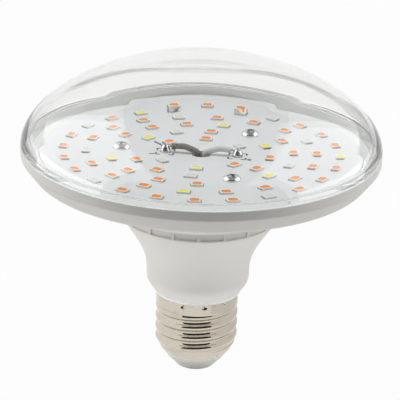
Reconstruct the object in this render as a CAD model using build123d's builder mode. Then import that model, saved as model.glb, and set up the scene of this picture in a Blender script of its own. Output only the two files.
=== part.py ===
from build123d import *
import os
from math import cos, hypot, radians, sin, sqrt

# Wide-faced grow lamp: a clear dome over a board of LED rings, a pale pan and neck, and a threaded cap.
# Millimetres. The lamp axis is Z with the dome up, and the flat of the centre contact is at z = 0.

# Fits
fit_gap = 0.1
slide_gap = 0.2
round_fullness = 4 / 3 * (sqrt(2) - 1)

# Centre contact and insulator
contact_radius = 5.0
contact_thickness = 0.5
contact_edge = 0.2
stem_radius = 1.5
insulator_foot = 1.3
insulator_height = 6.2
insulator_plug = 2.6
insulator_step = 0.25

# Threaded shell
cap_height = 26.3
thread_radius = 13.1
thread_depth = 0.85
thread_pitch = 3.629
shell_wall = 0.4
lip_radius = 11.5
lip_taper = 1.4
band_height = 3.6
punch_count = 12
punch_radius = 0.7
punch_depth = 0.35
punch_drop = 1.1
punch_angle = 11.0

# Neck
neck_height = 26.2
neck_wall = 1.8
neck_waist_radius = 16.25
neck_waist_height = 1.6
neck_shoulder_height = 4.9
neck_foot_lip = 0.6
neck_foot_height = 0.8
neck_flare_lead = 7.0
neck_flare_fall = 6.5
neck_flare_slope = 0.7
neck_inset = 0.4
neck_floor = 1.8
spigot_height = 3.8
spigot_wall = 1.8
collar_spigot_height = 3.4
collar_spigot_wall = 1.5
rib_height = 6.0
rib_thickness = 1.2
rib_reach = 1.4

# Pan
collar_radius = 25.5
collar_height = 3.0
collar_wall = 1.8
panel_count = 20
panel_gap = 0.9
panel_height = 1.9
panel_depth = 0.35
panel_foot = 0.45
pan_rise = 11.5
pan_wall = 1.8
rim_radius = 55.8
rim_wall = 1.6
rim_band_height = 2.8
rim_taper_height = 5.1
rim_taper_inset = 3.8
rim_round = 1.4
shoulder_round = 3.0
collar_round = 0.8
shelf_width = 3.5

# Clear cover
dome_height = 27.2
dome_side = 0.43
dome_crown = 0.535
hollow_side = 0.40
hollow_crown = 0.55
cover_wall = 1.7
ledge_height = 1.2
skirt_wall = 1.2
skirt_length = 2.6
gate_angle = -62.5
gate_radius = 0.5
gate_height = 0.4
gate_rise = 1.0

# Board and heat sink
board_recess = 2.7
board_margin = 5.3
board_thickness = 1.2
plate_thickness = 1.5
wire_hole_radius = 3.0
boss_radius = 2.7
boss_height = 4.0

# LED packages: rings from the middle out, as the angle of the first place and what each place holds.
# O, Y and C are orange, yellow and clear windows, and a dot is a place left for a pad or a screw.
led_length = 3.7
led_width = 3.0
led_height = 0.7
window_length = 2.9
window_width = 2.3
window_corner = 0.65
window_depth = 0.35
emitter_depth = 0.3
terminal_length = 0.25
terminal_width = 2.2
terminal_height = 0.35
led_ring_inner = 14.1
led_edge_margin = 7.7
led_rings = [
    (33.0, "C.O.O..C.Y.O.."),
    (22.0, "Y.OCY.OOC.OO"),
    (28.0, "O.YOOO.YOOO.YCO"),
    (2.3, "OCOOOCOOOCOOOYOOOO"),
    (12.9, "OOOCOOOYOCOOOOCOOOOCOOOY"),
]

# Board screws, on a circle midway between the second and third LED rings
screw_count = 3
screw_ring = 1.5
screw_angle = 52.0
screw_radius = 1.4
screw_length = 5.4
screw_head_radius = 2.75
screw_head_edge = 0.4
screw_head_height = 1.8
recess_span = 3.0
recess_width = 0.75
recess_depth = 1.0

# Wires to the board
wire_radius = 0.95
wire_spread = 1.05
wire_corner_rise = 0.7
wire_arch_reach = 5.2
wire_arch_rise = 2.2
wire_end_reach = 9.2
wire_end_rise = 2.0
wire_foot_bend = 1.4
wire_arch_bend = 4.0
conductor_radius = 0.35
pad_angle = -6.0
pad_reach = 11.2
solder_radius = 1.7
solder_height = 2.6
tail_reach = 14.6
tail_rise = 3.2
tail_bend = 1.5

# Driver: the places of its components are across the board and up or down from its top edge
driver_width = 24.0
driver_height = 32.4
driver_thickness = 1.2
lead_radius = 0.5
lead_bend = 2.0
shell_lead_offset = 6.0
shell_lead_drop = 2.6
tip_lead_offset = 5.0
tip_lead_drop = 11.0
tip_lead_run = 3.0
can_radius = 4.0
can_length = 11.0
can_edge = 0.5
can_place = (-5.2, -12.5)
film_size = (9.0, 5.0, 6.0)
film_edge = 0.6
film_place = (-4.5, -4.3)
choke_radius = 4.2
choke_length = 8.0
choke_core_radius = 2.0
choke_flange = 1.2
choke_winding_radius = 3.6
choke_place = (5.5, -12.5)
bridge_size = (4.8, 3.9, 1.6)
bridge_legs = 2
bridge_place = (5.5, -21.5)
chip_size = (4.9, 3.9, 1.5)
chip_legs = 4
chip_place = (-5.5, -21.5)
leg_size = (0.45, 1.0, 0.3)
fuse_radius = 1.7
fuse_length = 7.0
fuse_lead_radius = 0.35
fuse_lead_span = 10.0
fuse_stand = 2.3
fuse_bend = 0.9
fuse_drop = 28.0

# Heights and radii that follow from the sizes above
lip_z = contact_thickness + insulator_height
root_radius = thread_radius - thread_depth
band_z = cap_height - band_height
shell_bore = thread_radius - shell_wall
root_bore = root_radius - shell_wall
spigot_radius = shell_bore - fit_gap
spigot_bore = spigot_radius - spigot_wall
plug_top = lip_z + insulator_plug
neck_foot_radius = thread_radius + neck_foot_lip
neck_floor_z = cap_height + neck_floor
neck_waist_z = cap_height + neck_foot_height + neck_shoulder_height
seam_z = cap_height + neck_height
neck_top_radius = collar_radius - neck_inset
collar_bore = collar_radius - collar_wall
collar_spigot_radius = collar_bore - slide_gap
collar_top = seam_z + collar_height
pan_shoulder_radius = rim_radius - rim_taper_inset
pan_shoulder_z = collar_top + pan_rise
rim_band_z = pan_shoulder_z + rim_taper_height
rim_top = rim_band_z + rim_band_height
rim_bore = rim_radius - rim_wall
board_top = rim_top - board_recess
board_seat = board_top - board_thickness
shelf_z = board_seat - plate_thickness
board_radius = rim_radius - board_margin
plate_radius = board_radius + slide_gap
plate_bore = plate_radius + slide_gap
shelf_bore = plate_bore - shelf_width
led_ring_step = (board_radius - led_edge_margin - led_ring_inner) / (len(led_rings) - 1)
screw_circle = led_ring_inner + screw_ring * led_ring_step
driver_top = neck_floor_z + driver_height
driver_front = -driver_thickness / 2
driver_face = Plane(origin=(0, driver_front, driver_top), x_dir=(1, 0, 0), z_dir=(0, -1, 0))

os.makedirs("parts", exist_ok=True)


def led_places(kinds):
    """The places of the LEDs of these kinds, each with its long side along its ring."""
    places = []
    for ring, (first_angle, pattern) in enumerate(led_rings):
        radius = led_ring_inner + ring * led_ring_step
        for slot, kind in enumerate(pattern):
            angle = first_angle + slot * 360 / len(pattern)
            if kind in kinds:
                spot = (radius * cos(radians(angle)), radius * sin(radians(angle)), 0)
                places.append(Location(spot, (0, 0, angle + 90)))
    return places


def quarter_oval(foot, reach, rise, side=round_fullness, crown=round_fullness):
    """The control points of a quarter of an oval, from its side at this height to its top on the axis.

    The side and the crown say how full the oval is there. The round fullness makes it an ellipse.
    """
    top = foot + rise
    return [(reach, foot), (reach, foot + side * rise), (crown * reach, top), (0, top)]


def upright_plane(angle):
    """The upright plane through the lamp axis, with x along this direction, y up and the board's face at y = 0."""
    along = (cos(radians(angle)), sin(radians(angle)), 0)
    across = (sin(radians(angle)), -cos(radians(angle)), 0)
    return Plane(origin=(0, 0, board_top), x_dir=along, z_dir=across)


# Centre contact: a disc with a stem through the insulator
with BuildPart() as centre_contact:
    with BuildSketch(Plane.XY):
        Circle(contact_radius)
    extrude(amount=contact_thickness)
    fillet(centre_contact.edges().group_by(Axis.Z)[0], radius=contact_edge)
    with BuildSketch(Plane.XY.offset(contact_thickness)):
        Circle(stem_radius)
    extrude(amount=plug_top - contact_thickness)
centre_contact.part.label = "centre_contact"
export_step(centre_contact.part, "parts/centre_contact.step")

# Insulator: a stepped cone below the shell's lip and a plug inside it
cone_middle = (contact_radius + insulator_foot + lip_radius) / 2
cone_middle_z = (contact_thickness + lip_z) / 2
with BuildPart() as cap_insulator:
    with BuildSketch(Plane.XZ):
        with BuildLine():
            Polyline(
                (stem_radius + fit_gap, contact_thickness),
                (contact_radius + insulator_foot, contact_thickness),
                (cone_middle, cone_middle_z),
                (cone_middle + insulator_step, cone_middle_z),
                (lip_radius - insulator_step, lip_z),
                (lip_radius - shell_wall - fit_gap, lip_z),
                (root_bore - fit_gap, lip_z + lip_taper),
                (root_bore - fit_gap, plug_top),
                (stem_radius + fit_gap, plug_top),
                close=True,
            )
        make_face()
    revolve(axis=Axis.Z)
cap_insulator.part.label = "cap_insulator"
export_step(cap_insulator.part, "parts/cap_insulator.step")

# Screw shell: sheet rolled into a rounded thread, with a plain band and punched crimp marks under the neck
thread_turns = int((band_z - lip_z - lip_taper) / thread_pitch - 0.5)
thread_foot = band_z - (thread_turns + 0.5) * thread_pitch
quarter_turn = thread_pitch / 4
with BuildPart() as screw_shell:
    with BuildSketch(Plane.XZ):
        with BuildLine():
            for inset in (0, shell_wall):
                crest = thread_radius - inset
                flank = crest - thread_depth / 2
                root = crest - thread_depth
                TangentArc((crest, band_z), (flank, band_z - quarter_turn), tangent=(0, -1))
                for turn in range(thread_turns):
                    z = band_z - turn * thread_pitch - quarter_turn
                    ThreePointArc((flank, z), (root, z - quarter_turn), (flank, z - 2 * quarter_turn))
                    z -= 2 * quarter_turn
                    ThreePointArc((flank, z), (crest, z - quarter_turn), (flank, z - 2 * quarter_turn))
                TangentArc((root, thread_foot), (flank, thread_foot + quarter_turn), tangent=(0, 1))
            Polyline(
                (root_radius, thread_foot),
                (root_radius, lip_z + lip_taper),
                (lip_radius, lip_z),
                (lip_radius - shell_wall, lip_z),
                (root_bore, lip_z + lip_taper),
                (root_bore, thread_foot),
            )
            Polyline(
                (shell_bore, band_z),
                (shell_bore, cap_height),
                (thread_radius, cap_height),
                (thread_radius, band_z),
            )
        make_face()
    revolve(axis=Axis.Z)
    with Locations((0, 0, cap_height - punch_drop)):
        with PolarLocations(thread_radius + punch_radius - punch_depth, punch_count, punch_angle):
            Sphere(punch_radius, mode=Mode.SUBTRACT)
screw_shell.part.label = "screw_shell"
export_step(screw_shell.part, "parts/screw_shell.step")

# Neck: flared sleeve with a spigot in the shell, one in the collar, and slots for the driver board
neck_side = (neck_waist_radius, neck_waist_z + neck_waist_height)
neck_top = (neck_top_radius, seam_z)
flare_top_handle = (neck_top_radius - neck_flare_slope * neck_flare_fall, seam_z - neck_flare_fall)
inner_waist = neck_waist_radius - neck_wall
inner_top = collar_spigot_radius - collar_spigot_wall
inner_top_handle = (inner_top - neck_flare_slope * neck_flare_fall, seam_z - neck_flare_fall)
with BuildPart() as neck_sleeve:
    with BuildSketch(Plane.XZ):
        with BuildLine():
            Polyline(
                (spigot_bore, cap_height - spigot_height),
                (spigot_radius, cap_height - spigot_height),
                (spigot_radius, cap_height),
                (neck_foot_radius, cap_height),
                (neck_foot_radius, cap_height + neck_foot_height),
            )
            Bezier(
                (neck_foot_radius, cap_height + neck_foot_height),
                (neck_waist_radius, neck_waist_z - neck_shoulder_height / 2),
                (neck_waist_radius, neck_waist_z),
            )
            Line((neck_waist_radius, neck_waist_z), neck_side)
            Bezier(neck_side, (neck_waist_radius, neck_side[1] + neck_flare_lead), flare_top_handle, neck_top)
            Polyline(
                neck_top,
                (collar_spigot_radius, seam_z),
                (collar_spigot_radius, seam_z + collar_spigot_height),
                (inner_top, seam_z + collar_spigot_height),
                (inner_top, seam_z),
            )
            Bezier(
                (inner_top, seam_z),
                inner_top_handle,
                (inner_waist, neck_side[1] + neck_flare_lead),
                (inner_waist, neck_side[1]),
            )
            Polyline(
                (inner_waist, neck_side[1]),
                (inner_waist, neck_waist_z),
                (neck_foot_radius - fit_gap, neck_floor_z),
                (spigot_bore, neck_floor_z),
                (spigot_bore, cap_height - spigot_height),
            )
        make_face()
    revolve(axis=Axis.Z)
    rib_inner = driver_width / 2 - rib_reach
    rib_outer = neck_waist_radius - neck_wall / 2
    rib_side = driver_thickness / 2 + fit_gap + rib_thickness / 2
    with BuildSketch(Plane.XY.offset(neck_waist_z)):
        with GridLocations(rib_inner + rib_outer, 2 * rib_side, 2, 2):
            Rectangle(rib_outer - rib_inner, rib_thickness)
    extrude(amount=rib_height)
neck_sleeve.part.label = "neck_sleeve"
export_step(neck_sleeve.part, "parts/neck_sleeve.step")

# Pan: rim band, tapered edge, sloped underside, and a collar with shallow panels
pan_slope = pan_rise / (pan_shoulder_radius - collar_radius)
pan_wall_rise = pan_wall * hypot(1, pan_slope)
with BuildPart() as pan_housing:
    with BuildSketch(Plane.XZ):
        with BuildLine():
            FilletPolyline(
                (rim_radius, rim_top),
                (rim_radius, rim_band_z),
                (pan_shoulder_radius, pan_shoulder_z),
                (collar_radius, collar_top),
                (collar_radius, seam_z),
                radius=[rim_round, shoulder_round, collar_round],
            )
            Polyline(
                (collar_radius, seam_z),
                (collar_bore, seam_z),
                (collar_bore, collar_top - pan_slope * collar_wall + pan_wall_rise),
                (shelf_bore, pan_shoulder_z - pan_slope * (pan_shoulder_radius - shelf_bore) + pan_wall_rise),
                (shelf_bore, shelf_z),
                (plate_bore, shelf_z),
                (plate_bore, board_seat),
                (rim_bore, rim_top - skirt_length - slide_gap),
                (rim_bore, rim_top),
                (rim_radius, rim_top),
            )
        make_face()
    revolve(axis=Axis.Z)
    with BuildSketch(Plane.XY.offset(seam_z + panel_foot)):
        Circle(collar_radius + panel_depth)
        Circle(collar_radius - panel_depth, mode=Mode.SUBTRACT)
        with PolarLocations(collar_radius, panel_count):
            Rectangle(collar_wall, panel_gap, mode=Mode.SUBTRACT)
    extrude(amount=panel_height, mode=Mode.SUBTRACT)
pan_housing.part.label = "pan_housing"
export_step(pan_housing.part, "parts/pan_housing.step")

# Clear cover: a half-oval dome with an inner ledge, a locating skirt and the moulding gate
hollow_radius = rim_radius - cover_wall
skirt_radius = rim_bore - slide_gap
skirt_bore = skirt_radius - skirt_wall
ledge_z = rim_top + ledge_height
cover_inner_height = dome_height - ledge_height - cover_wall
with BuildPart() as clear_cover:
    with BuildSketch(Plane.XZ):
        with BuildLine():
            Bezier(*quarter_oval(rim_top, rim_radius, dome_height, dome_side, dome_crown))
            Line((0, rim_top + dome_height), (0, ledge_z + cover_inner_height))
            Bezier(*quarter_oval(ledge_z, hollow_radius, cover_inner_height, hollow_side, hollow_crown))
            Polyline(
                (hollow_radius, ledge_z),
                (skirt_bore, ledge_z),
                (skirt_bore, rim_top - skirt_length),
                (skirt_radius, rim_top - skirt_length),
                (skirt_radius, rim_top),
                (rim_radius, rim_top),
            )
        make_face()
    revolve(axis=Axis.Z)
    gate_way = (cos(radians(gate_angle)), sin(radians(gate_angle)), 0)
    gate_plane = Plane(origin=(0, 0, rim_top + gate_rise), x_dir=(0, 0, 1), z_dir=gate_way)
    with BuildSketch(gate_plane.offset(rim_radius - cover_wall / 2)):
        Circle(gate_radius)
    extrude(amount=cover_wall / 2 + gate_height)
clear_cover.part.label = "clear_cover"
export_step(clear_cover.part, "parts/clear_cover.step")

# Heat sink: a plate on the pan's shelf, with a boss below it for each screw
with BuildPart() as heat_sink:
    with BuildSketch(Plane.XY.offset(shelf_z)):
        Circle(plate_radius)
    extrude(amount=plate_thickness)
    with BuildSketch(Plane.XY.offset(shelf_z)):
        with PolarLocations(screw_circle, screw_count, screw_angle):
            Circle(boss_radius)
    extrude(amount=-boss_height)
    with BuildSketch(Plane.XY.offset(board_seat)):
        Circle(wire_hole_radius)
        with PolarLocations(screw_circle, screw_count, screw_angle):
            Circle(screw_radius + fit_gap / 2)
    extrude(amount=-plate_thickness - boss_height, mode=Mode.SUBTRACT)
heat_sink.part.label = "heat_sink"
export_step(heat_sink.part, "parts/heat_sink.step")

# Board: a disc with the wire hole and the screw holes
with BuildPart() as led_board:
    with BuildSketch(Plane.XY.offset(board_seat)):
        Circle(board_radius)
        Circle(wire_hole_radius, mode=Mode.SUBTRACT)
        with PolarLocations(screw_circle, screw_count, screw_angle):
            Circle(screw_radius + slide_gap, mode=Mode.SUBTRACT)
    extrude(amount=board_thickness)
led_board.part.label = "led_board"
export_step(led_board.part, "parts/led_board.step")

# LED packages: white bodies with a window sunk into the top
with BuildPart() as led_bodies:
    with BuildSketch(Plane.XY.offset(board_top)):
        with Locations(*led_places("OYC")):
            Rectangle(led_length, led_width)
    extrude(amount=led_height)
    with BuildSketch(Plane.XY.offset(board_top + led_height)):
        with Locations(*led_places("OYC")):
            RectangleRounded(window_length, window_width, window_corner)
    extrude(amount=-window_depth, mode=Mode.SUBTRACT)
led_bodies.part.label = "led_bodies"
export_step(led_bodies.part, "parts/led_bodies.step")

# LED terminals: a soldered tab at each end of each package
with BuildPart() as led_terminals:
    with BuildSketch(Plane.XY.offset(board_top)):
        with Locations(*led_places("OYC")):
            with GridLocations(led_length + terminal_length, 0, 2, 1):
                Rectangle(terminal_length, terminal_width)
    extrude(amount=terminal_height)
led_terminals.part.label = "led_terminals"
export_step(led_terminals.part, "parts/led_terminals.step")

# Emitters: the filling of the windows, one node for each kind
for emitter_name, kind in (("orange_emitters", "O"), ("yellow_emitters", "Y"), ("clear_emitters", "C")):
    with BuildPart() as emitters:
        with BuildSketch(Plane.XY.offset(board_top + led_height - window_depth)):
            with Locations(*led_places(kind)):
                RectangleRounded(window_length, window_width, window_corner)
        extrude(amount=emitter_depth)
    emitters.part.label = emitter_name
    export_step(emitters.part, f"parts/{emitter_name}.step")

# Board screws: low domed heads with a cross recess
with BuildPart() as board_screw:
    with BuildSketch(Plane.XZ):
        with BuildLine():
            Polyline(
                (0, screw_head_height),
                (0, -screw_length),
                (screw_radius, -screw_length),
                (screw_radius, 0),
                (screw_head_radius, 0),
                (screw_head_radius, screw_head_edge),
            )
            Bezier(*quarter_oval(screw_head_edge, screw_head_radius, screw_head_height - screw_head_edge))
        make_face()
    revolve(axis=Axis.Z)
    with BuildSketch(Plane.XY.offset(screw_head_height)):
        Rectangle(recess_span, recess_width)
        Rectangle(recess_width, recess_span)
    extrude(amount=-recess_depth, mode=Mode.SUBTRACT)
with BuildPart() as board_screws:
    with Locations((0, 0, board_top)):
        with PolarLocations(screw_circle, screw_count, screw_angle):
            add(board_screw.part)
board_screws.part.label = "board_screws"
export_step(board_screws.part, "parts/board_screws.step")

# Wires: up from the driver through the middle hole, then out to a pad on each side
wire_points = [
    (wire_spread, driver_top - board_top),
    (wire_spread, wire_corner_rise),
    (wire_arch_reach, wire_arch_rise),
    (wire_end_reach, wire_end_rise),
]
pad_angles = {"positive_wire": pad_angle, "negative_wire": pad_angle + 180}
for wire_name, angle in pad_angles.items():
    with BuildPart() as wire:
        with BuildLine(upright_plane(angle)) as wire_path:
            FilletPolyline(*wire_points, radius=[wire_foot_bend, wire_arch_bend])
        with BuildSketch(Plane(origin=wire_path.line @ 0, z_dir=wire_path.line % 0)):
            Circle(wire_radius)
        sweep(path=wire_path.line)
    wire.part.label = wire_name
    export_step(wire.part, f"parts/{wire_name}.step")

# Bare wire ends: one stops in its solder, the other runs through and leaves a tail
short_end = [(wire_end_reach, wire_end_rise), (pad_reach, wire_end_rise - conductor_radius)]
tail_end = [*short_end, (tail_reach, tail_rise)]
with BuildPart() as wire_ends:
    for angle, points in ((pad_angle, short_end), (pad_angle + 180, tail_end)):
        with BuildLine(upright_plane(angle)) as end_path:
            if len(points) > 2:
                FilletPolyline(*points, radius=tail_bend)
            else:
                Line(*points)
        with BuildSketch(Plane(origin=end_path.line @ 0, z_dir=end_path.line % 0)):
            Circle(conductor_radius)
        sweep(path=end_path.line)
wire_ends.part.label = "wire_ends"
export_step(wire_ends.part, "parts/wire_ends.step")

# Solder: a blob on each pad, round the wire end
with BuildPart() as solder_blob:
    with BuildSketch(Plane.XZ):
        with BuildLine():
            Bezier(*quarter_oval(0, solder_radius, solder_height))
            Polyline((0, solder_height), (0, 0), (solder_radius, 0))
        make_face()
    revolve(axis=Axis.Z)
with BuildPart() as solder_joints:
    with Locations((0, 0, board_top)):
        with PolarLocations(pad_reach, 2, pad_angle):
            add(solder_blob.part)
    add(wire_ends.part, mode=Mode.SUBTRACT)
solder_joints.part.label = "solder_joints"
export_step(solder_joints.part, "parts/solder_joints.step")

# Driver board: upright in the neck, on the neck's floor and between its ribs
with BuildPart() as driver_board:
    with BuildSketch(Plane.XZ):
        with Locations((0, neck_floor_z + driver_height / 2)):
            Rectangle(driver_width, driver_height)
    extrude(amount=driver_thickness / 2, both=True)
driver_board.part.label = "driver_board"
export_step(driver_board.part, "parts/driver_board.step")

# Electrolytic capacitor: a can that stands on the driver board
with BuildPart() as electrolytic_capacitor:
    with BuildSketch(driver_face):
        with Locations(can_place):
            Circle(can_radius)
    extrude(amount=can_length)
    fillet(electrolytic_capacitor.edges().group_by(Axis.Y)[0], radius=can_edge)
electrolytic_capacitor.part.label = "electrolytic_capacitor"
export_step(electrolytic_capacitor.part, "parts/electrolytic_capacitor.step")

# Film capacitor: a moulded box near the top of the driver board
with BuildPart() as film_capacitor:
    with BuildSketch(driver_face):
        with Locations(film_place):
            RectangleRounded(film_size[0], film_size[1], film_edge)
    extrude(amount=film_size[2])
film_capacitor.part.label = "film_capacitor"
export_step(film_capacitor.part, "parts/film_capacitor.step")

# Choke: a ferrite drum and its winding
with BuildPart() as choke_core:
    with BuildSketch(driver_face):
        with Locations(choke_place):
            Circle(choke_radius)
    extrude(amount=choke_flange)
    with BuildSketch(driver_face.offset(choke_flange)):
        with Locations(choke_place):
            Circle(choke_core_radius)
    extrude(amount=choke_length - 2 * choke_flange)
    with BuildSketch(driver_face.offset(choke_length - choke_flange)):
        with Locations(choke_place):
            Circle(choke_radius)
    extrude(amount=choke_flange)
choke_core.part.label = "choke_core"
export_step(choke_core.part, "parts/choke_core.step")

with BuildPart() as choke_winding:
    with BuildSketch(driver_face.offset(choke_flange)):
        with Locations(choke_place):
            Circle(choke_winding_radius)
            Circle(choke_core_radius, mode=Mode.SUBTRACT)
    extrude(amount=choke_length - 2 * choke_flange)
choke_winding.part.label = "choke_winding"
export_step(choke_winding.part, "parts/choke_winding.step")

# Rectifier and driver chip: moulded blocks with rows of legs
for chip_name, size, place, legs in (
    ("bridge_rectifier", bridge_size, bridge_place, bridge_legs),
    ("driver_chip", chip_size, chip_place, chip_legs),
):
    with BuildPart() as chip:
        with BuildSketch(driver_face):
            with Locations(place):
                Rectangle(size[0], size[1])
        extrude(amount=size[2])
        with BuildSketch(driver_face):
            with Locations(place):
                with GridLocations(size[0] / legs, size[1] + leg_size[1], legs, 2):
                    Rectangle(leg_size[0], leg_size[1])
        extrude(amount=leg_size[2])
    chip.part.label = chip_name
    export_step(chip.part, f"parts/{chip_name}.step")

# Fuse resistor: a barrel on two bent leads
fuse_z = driver_top - fuse_drop
fuse_front = driver_front - fuse_stand
with BuildPart() as fuse_resistor:
    with BuildLine(Plane.XY.offset(fuse_z)) as fuse_path:
        FilletPolyline(
            (-fuse_lead_span / 2, driver_front),
            (-fuse_lead_span / 2, fuse_front),
            (fuse_lead_span / 2, fuse_front),
            (fuse_lead_span / 2, driver_front),
            radius=fuse_bend,
        )
    with BuildSketch(Plane(origin=fuse_path.line @ 0, z_dir=fuse_path.line % 0)):
        Circle(fuse_lead_radius)
    sweep(path=fuse_path.line)
    with BuildSketch(Plane.YZ):
        with Locations((fuse_front, fuse_z)):
            Circle(fuse_radius)
    extrude(amount=fuse_length / 2, both=True)
fuse_resistor.part.label = "fuse_resistor"
export_step(fuse_resistor.part, "parts/fuse_resistor.step")

# Leads from the driver to the shell and to the contact's stem
shell_lead_z = cap_height - spigot_height - shell_lead_drop
lead_routes = {
    "shell_lead": [
        (-shell_lead_offset, neck_floor_z),
        (-shell_lead_offset, shell_lead_z),
        (fit_gap - root_bore, shell_lead_z),
    ],
    "tip_lead": [
        (tip_lead_offset, neck_floor_z),
        (tip_lead_offset, neck_floor_z - tip_lead_drop),
        (0, plug_top + tip_lead_run),
        (0, plug_top),
    ],
}
for lead_name, route in lead_routes.items():
    with BuildPart() as lead:
        with BuildLine(Plane.XZ) as lead_path:
            FilletPolyline(*route, radius=lead_bend)
        with BuildSketch(Plane(origin=lead_path.line @ 0, z_dir=lead_path.line % 0)):
            Circle(lead_radius)
        sweep(path=lead_path.line)
    lead.part.label = lead_name
    export_step(lead.part, f"parts/{lead_name}.step")
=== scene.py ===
import math

import bmesh
import bpy
from mathutils import Matrix, Vector


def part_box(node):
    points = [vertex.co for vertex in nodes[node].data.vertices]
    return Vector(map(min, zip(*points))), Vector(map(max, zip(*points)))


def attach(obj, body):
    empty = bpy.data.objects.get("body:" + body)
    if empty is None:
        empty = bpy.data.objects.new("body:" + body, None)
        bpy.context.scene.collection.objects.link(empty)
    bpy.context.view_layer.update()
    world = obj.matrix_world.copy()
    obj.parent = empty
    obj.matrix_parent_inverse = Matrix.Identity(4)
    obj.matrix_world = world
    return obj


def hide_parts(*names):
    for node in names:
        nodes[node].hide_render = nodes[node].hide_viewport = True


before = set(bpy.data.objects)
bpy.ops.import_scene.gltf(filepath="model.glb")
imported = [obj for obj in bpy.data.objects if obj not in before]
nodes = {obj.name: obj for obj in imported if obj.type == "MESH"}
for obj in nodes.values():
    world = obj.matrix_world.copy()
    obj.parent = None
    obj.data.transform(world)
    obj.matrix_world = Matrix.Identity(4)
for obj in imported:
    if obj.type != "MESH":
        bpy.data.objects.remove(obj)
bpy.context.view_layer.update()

# Sizes are in millimetres. The main heights and radii are read from the frame.
MM = 0.001
BOARD_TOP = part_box("led_board")[1].z / MM
RIM_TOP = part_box("pan_housing")[1].z / MM
RIM_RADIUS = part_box("pan_housing")[1].x / MM
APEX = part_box("clear_cover")[1].z / MM
CAP_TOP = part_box("screw_shell")[1].z / MM
CAP_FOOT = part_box("screw_shell")[0].z / MM
CAP_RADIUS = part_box("screw_shell")[1].x / MM


# Small helpers for node trees
def put(tree, kind, settings=None, **inputs):
    """Adds a node. A setting is a property of it, and an input is a value or another node's output."""
    node = tree.nodes.new(kind)
    for name, value in (settings or {}).items():
        setattr(node, name, value)
    for name, value in inputs.items():
        feed(tree, node.inputs[name.replace("_", " ")], value)
    return node


def feed(tree, socket, value):
    """Gives a socket a value, or links it to another node's output."""
    if isinstance(value, bpy.types.NodeSocket):
        tree.links.new(value, socket)
    else:
        socket.default_value = value


def maths(tree, operation, first, second=0.0, third=0.0):
    """The output of a Math node."""
    node = tree.nodes.new("ShaderNodeMath")
    node.operation = operation
    for socket, value in zip(node.inputs, (first, second, third)):
        feed(tree, socket, value)
    return node.outputs[0]


def ramp(tree, value, low, high, to_low=0.0, to_high=1.0):
    """A smooth step of a value from one level to another."""
    node = put(tree, "ShaderNodeMapRange", {"interpolation_type": "SMOOTHSTEP"}, Value=value)
    for name, level in (("From Min", low), ("From Max", high), ("To Min", to_low), ("To Max", to_high)):
        feed(tree, node.inputs[name], level)
    return node.outputs["Result"]


def blend_colour(tree, share, first, second):
    """A mix of two colours."""
    node = tree.nodes.new("ShaderNodeMix")
    node.data_type = "RGBA"
    feed(tree, node.inputs[0], share)
    feed(tree, node.inputs[6], first)
    feed(tree, node.inputs[7], second)
    return node.outputs[2]


def new_group(name, kind, inputs, outputs):
    """An empty node group with its named sockets. Returns the tree and its two end nodes."""
    tree = bpy.data.node_groups.new(name, kind)
    for socket_name, socket_type in inputs:
        tree.interface.new_socket(socket_name, in_out="INPUT", socket_type=socket_type)
    for socket_name, socket_type in outputs:
        tree.interface.new_socket(socket_name, in_out="OUTPUT", socket_type=socket_type)
    return tree, tree.nodes.new("NodeGroupInput").outputs, tree.nodes.new("NodeGroupOutput").inputs


# Shader groups that several finishes share
FLOAT, COLOUR, VECTOR = "NodeSocketFloat", "NodeSocketColor", "NodeSocketVector"
NOISE_MIDDLE = 0.5
MOTTLE_GLOSS = 0.12
LINE_GLOSS = 0.5


def make_grain_group():
    """Fine grain and slow mottling, as on moulded plastic and solder mask."""
    tree, given, out = new_group(
        "moulded_grain",
        "ShaderNodeTree",
        [("Vector", VECTOR), ("Colour", COLOUR), ("Grain scale", FLOAT), ("Grain", FLOAT),
         ("Mottle scale", FLOAT), ("Mottle", FLOAT), ("Roughness", FLOAT)],
        [("Colour", COLOUR), ("Roughness", FLOAT), ("Height", FLOAT)],
    )
    grain = put(tree, "ShaderNodeTexNoise", Vector=given["Vector"], Scale=given["Grain scale"], Detail=2.0)
    mottle = put(tree, "ShaderNodeTexNoise", Vector=given["Vector"], Scale=given["Mottle scale"], Detail=3.0)
    grain_swing = maths(tree, "SUBTRACT", grain.outputs["Fac"], NOISE_MIDDLE)
    mottle_swing = maths(tree, "SUBTRACT", mottle.outputs["Fac"], NOISE_MIDDLE)
    level = maths(tree, "MULTIPLY_ADD", grain_swing, given["Grain"], 1.0)
    level = maths(tree, "MULTIPLY_ADD", mottle_swing, given["Mottle"], level)
    shaded = put(tree, "ShaderNodeVectorMath", {"operation": "SCALE"})
    feed(tree, shaded.inputs[0], given["Colour"])
    feed(tree, shaded.inputs["Scale"], level)
    feed(tree, out["Colour"], shaded.outputs[0])
    gloss = maths(tree, "MULTIPLY_ADD", mottle_swing, MOTTLE_GLOSS, given["Roughness"])
    feed(tree, out["Roughness"], gloss)
    feed(tree, out["Height"], grain.outputs["Fac"])
    return tree


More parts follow.
